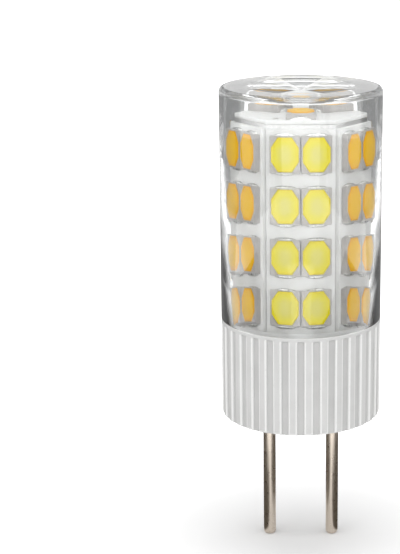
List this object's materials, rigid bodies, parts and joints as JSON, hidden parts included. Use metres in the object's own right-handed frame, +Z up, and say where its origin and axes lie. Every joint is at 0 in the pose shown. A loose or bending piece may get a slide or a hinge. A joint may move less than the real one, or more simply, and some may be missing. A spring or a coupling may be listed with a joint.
{
  "type": "corn LED bulb",
  "caption": "Small bi-pin capsule lamp: a hexagonal column of LEDs under a clear cylindrical cover, on a ribbed ceramic base with two straight contact pins.",
  "frame": {"origin": "centre of the ceramic base's underside, on the lamp's axis, midway between the two contact pins", "axes": "+Z up the lamp's axis towards the cover, X through both contact pins, -Y the front, which one face of the LED column looks to"},
  "size_m": [0.0158, 0.0158, 0.0463],
  "materials": {
    "clear_plastic": "clear moulded polycarbonate, polished",
    "ceramic": "fired white ceramic with a satin skin",
    "pin_metal": "nickel-plated, drawn and polished",
    "core_aluminium": "extruded aluminium",
    "white_board": "white solder mask on laminate",
    "led_package": "moulded package, satin",
    "phosphor": "yellow phosphor in clear silicone",
    "solder": "bright tin solder",
    "tinned_copper": "tinned copper",
    "driver_laminate": "green solder mask on laminate",
    "chip_epoxy": "moulded black epoxy",
    "resistor_ceramic": "glazed black film on ceramic",
    "capacitor_can": "aluminium can in a dark shrink sleeve",
    "wire_red": "red silicone insulation",
    "wire_black": "black silicone insulation"
  },
  "bodies": {
    "root": {"cover": "clear_plastic", "ceramic_base": "ceramic", "contact_pin_left": "pin_metal", "contact_pin_right": "pin_metal", "heat_core": "core_aluminium", "top_board": "white_board", "top_led_packages": "led_package", "top_led_phosphor": "phosphor", "top_led_solder": "solder", "driver_board": "driver_laminate", "pin_solder": "solder", "bridge_rectifier": "chip_epoxy", "bridge_rectifier_legs": "tinned_copper", "driver_chip": "chip_epoxy", "driver_chip_legs": "tinned_copper", "sense_resistor": "resistor_ceramic", "sense_resistor_caps": "solder", "smoothing_capacitor": "capacitor_can", "capacitor_leads": "tinned_copper", "wire_conductors": "tinned_copper", "wire_insulation_positive": "wire_red", "wire_insulation_negative": "wire_black", "side_board_1": "white_board", "side_board_2": "white_board", "side_board_3": "white_board", "side_board_4": "white_board", "side_board_5": "white_board", "side_board_6": "white_board", "side_led_packages_1": "led_package", "side_led_packages_2": "led_package", "side_led_packages_3": "led_package", "side_led_packages_4": "led_package", "side_led_packages_5": "led_package", "side_led_packages_6": "led_package", "side_led_phosphor_1": "phosphor", "side_led_phosphor_2": "phosphor", "side_led_phosphor_3": "phosphor", "side_led_phosphor_4": "phosphor", "side_led_phosphor_5": "phosphor", "side_led_phosphor_6": "phosphor", "side_led_solder_1": "solder", "side_led_solder_2": "solder", "side_led_solder_3": "solder", "side_led_solder_4": "solder", "side_led_solder_5": "solder", "side_led_solder_6": "solder"}
  },
  "joints": []
}
